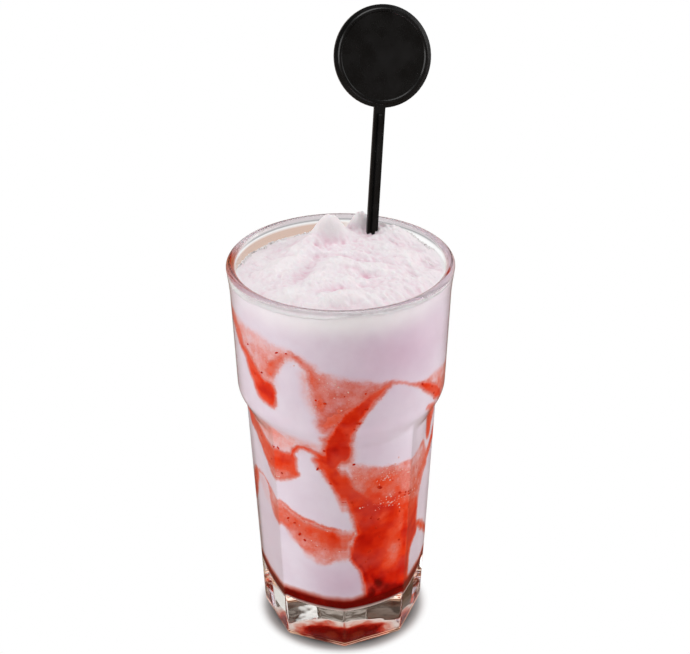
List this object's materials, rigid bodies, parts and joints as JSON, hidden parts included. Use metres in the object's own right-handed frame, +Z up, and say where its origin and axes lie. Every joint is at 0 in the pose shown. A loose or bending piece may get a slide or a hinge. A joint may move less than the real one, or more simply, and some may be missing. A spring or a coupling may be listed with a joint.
{
  "type": "strawberry milkshake",
  "caption": "Pink strawberry milkshake with a frothy mound, sauce streaks down the inside of a clear panelled tumbler, and a black disc-headed stirrer.",
  "frame": {"origin": "on the glass's axis, at the face it stands on", "axes": "+Z up along the glass's axis; the drink's front faces -Y, +X is to its right"},
  "size_m": [0.0808, 0.094, 0.2267],
  "materials": {
    "clear_glass": "clear, smooth, fire-polished",
    "strawberry_sauce": "wet, translucent, with seeds",
    "pink_shake": "frothy, fine-grained",
    "black_plastic": "moulded, semi-gloss"
  },
  "bodies": {
    "root": {"glass": "clear_glass", "sauce_pool": "strawberry_sauce", "milkshake": "pink_shake", "stirrer": "black_plastic"}
  },
  "joints": []
}
